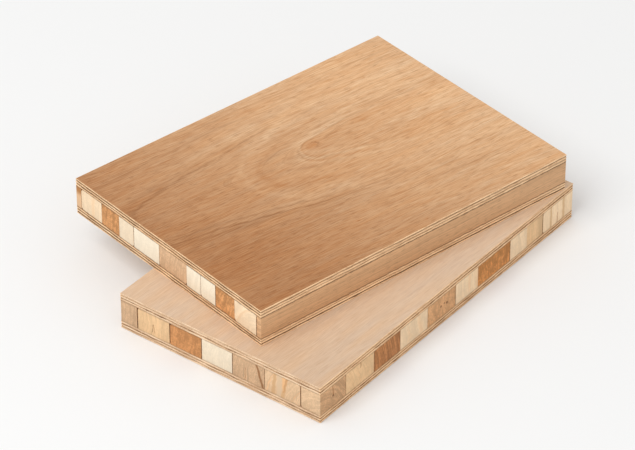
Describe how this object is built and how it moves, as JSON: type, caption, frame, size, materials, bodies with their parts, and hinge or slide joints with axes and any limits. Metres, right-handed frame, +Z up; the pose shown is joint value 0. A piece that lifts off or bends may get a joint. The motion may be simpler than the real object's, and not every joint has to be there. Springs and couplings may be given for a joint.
{
  "type": "stack of blockboard",
  "caption": "Stack of cut blockboard panels, one flat on the other: cores of solid wood strips and blocks between plied skins.",
  "frame": {"origin": "on the ground, under the centre of the stack's outline", "axes": "+Z up through the boards' thickness, +X along the lower board's length, +Y towards the stack's back"},
  "size_m": [0.3334, 0.2606, 0.06],
  "materials": {
    "face_veneer": "sanded unfinished light hardwood veneer, warm tan with fine dark pores",
    "crossband": "sawn edge of a darker ply, its end grain showing",
    "ply": "sawn edge of a pale ply",
    "core_wood_pale": "sawn pale softwood",
    "core_wood_tan": "sawn tan light hardwood",
    "core_wood_brown": "sawn orange-brown hardwood",
    "core_wood_mixed": "sawn blocks of pale, tan and brown woods side by side"
  },
  "bodies": {
    "root": {"lower_bottom_face_veneer": "face_veneer", "lower_bottom_outer_crossband": "crossband", "lower_bottom_centre_ply": "ply", "lower_bottom_inner_crossband": "crossband", "lower_bottom_inner_ply": "ply", "lower_top_face_veneer": "face_veneer", "lower_top_outer_crossband": "crossband", "lower_top_centre_ply": "ply", "lower_top_inner_crossband": "crossband", "lower_top_inner_ply": "ply", "upper_bottom_face_veneer": "face_veneer", "upper_bottom_outer_crossband": "crossband", "upper_bottom_centre_ply": "ply", "upper_bottom_inner_crossband": "crossband", "upper_bottom_inner_ply": "ply", "upper_top_face_veneer": "face_veneer", "upper_top_outer_crossband": "crossband", "upper_top_centre_ply": "ply", "upper_top_inner_crossband": "crossband", "upper_top_inner_ply": "ply", "lower_block_row_1": "core_wood_mixed", "lower_block_row_2": "core_wood_mixed", "lower_block_row_3": "core_wood_mixed", "lower_block_row_4": "core_wood_mixed", "lower_block_row_5": "core_wood_mixed", "lower_block_row_6": "core_wood_mixed", "lower_block_row_7": "core_wood_mixed", "upper_core_strip_1": "core_wood_tan", "upper_core_strip_2": "core_wood_pale", "upper_core_strip_3": "core_wood_brown", "upper_core_strip_4": "core_wood_pale", "upper_core_strip_5": "core_wood_pale", "upper_core_strip_6": "core_wood_tan", "upper_core_strip_7": "core_wood_pale", "upper_core_strip_8": "core_wood_pale", "upper_core_strip_9": "core_wood_brown", "upper_core_strip_10": "core_wood_pale", "upper_core_strip_11": "core_wood_tan"}
  },
  "joints": []
}
